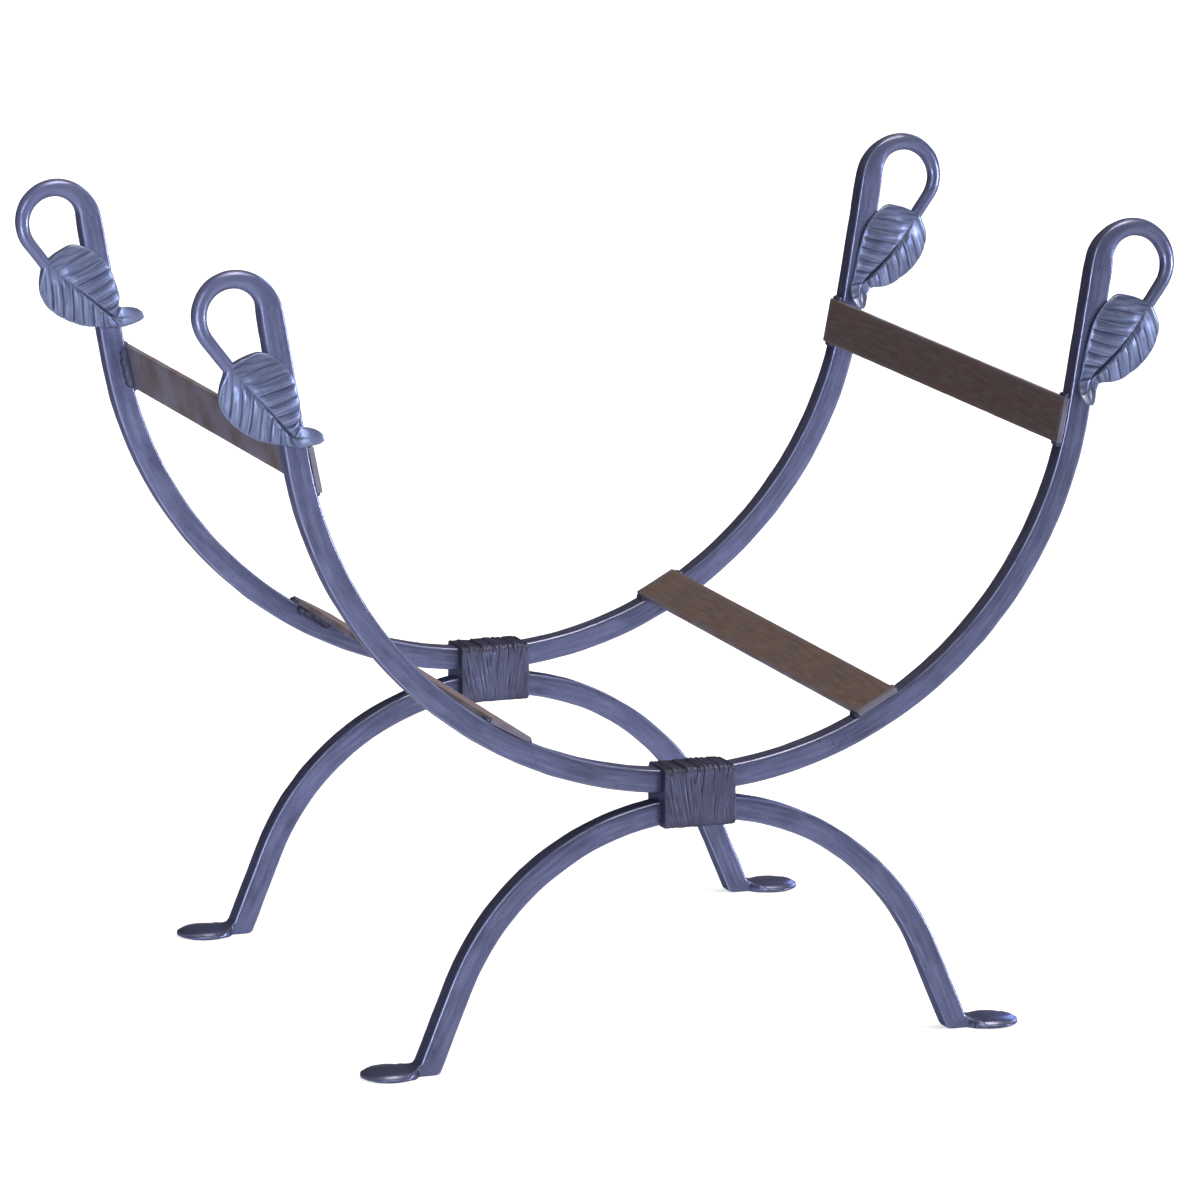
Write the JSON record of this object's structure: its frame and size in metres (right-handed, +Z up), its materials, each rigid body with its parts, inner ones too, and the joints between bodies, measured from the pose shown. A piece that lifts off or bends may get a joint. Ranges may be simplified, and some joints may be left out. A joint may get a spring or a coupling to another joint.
{
  "type": "log holder",
  "caption": "forged steel log holder with two open hoops on arched legs, hammered collars, flat cross bars and outward crooks that end in veined leaves",
  "frame": {"origin": "middle of the holder's bounding box, on the floor that its feet stand on", "axes": "+X to the viewer's right across the hoops, +Y from the front hoop to the rear hoop, +Z up"},
  "size_m": [0.5611, 0.3848, 0.4464],
  "materials": {
    "forged_bar_steel": "blue-grey oiled and waxed forge scale, semi-gloss, hammered",
    "flat_bar_steel": "brown-grey mill scale under clear wax, satin",
    "dark_collar_steel": "dark hammered forge scale, semi-gloss"
  },
  "bodies": {
    "root": {"front_hoop": "forged_bar_steel", "rear_hoop": "forged_bar_steel", "front_leg_arch": "forged_bar_steel", "rear_leg_arch": "forged_bar_steel", "front_collar": "dark_collar_steel", "rear_collar": "dark_collar_steel", "upper_left_cross_bar": "flat_bar_steel", "upper_right_cross_bar": "flat_bar_steel", "lower_left_cross_bar": "flat_bar_steel", "lower_right_cross_bar": "flat_bar_steel", "front_left_crook": "forged_bar_steel", "front_right_crook": "forged_bar_steel", "rear_left_crook": "forged_bar_steel", "rear_right_crook": "forged_bar_steel", "front_left_leaf": "forged_bar_steel", "front_right_leaf": "forged_bar_steel", "rear_left_leaf": "forged_bar_steel", "rear_right_leaf": "forged_bar_steel", "front_welds": "dark_collar_steel", "rear_welds": "dark_collar_steel"}
  },
  "joints": []
}
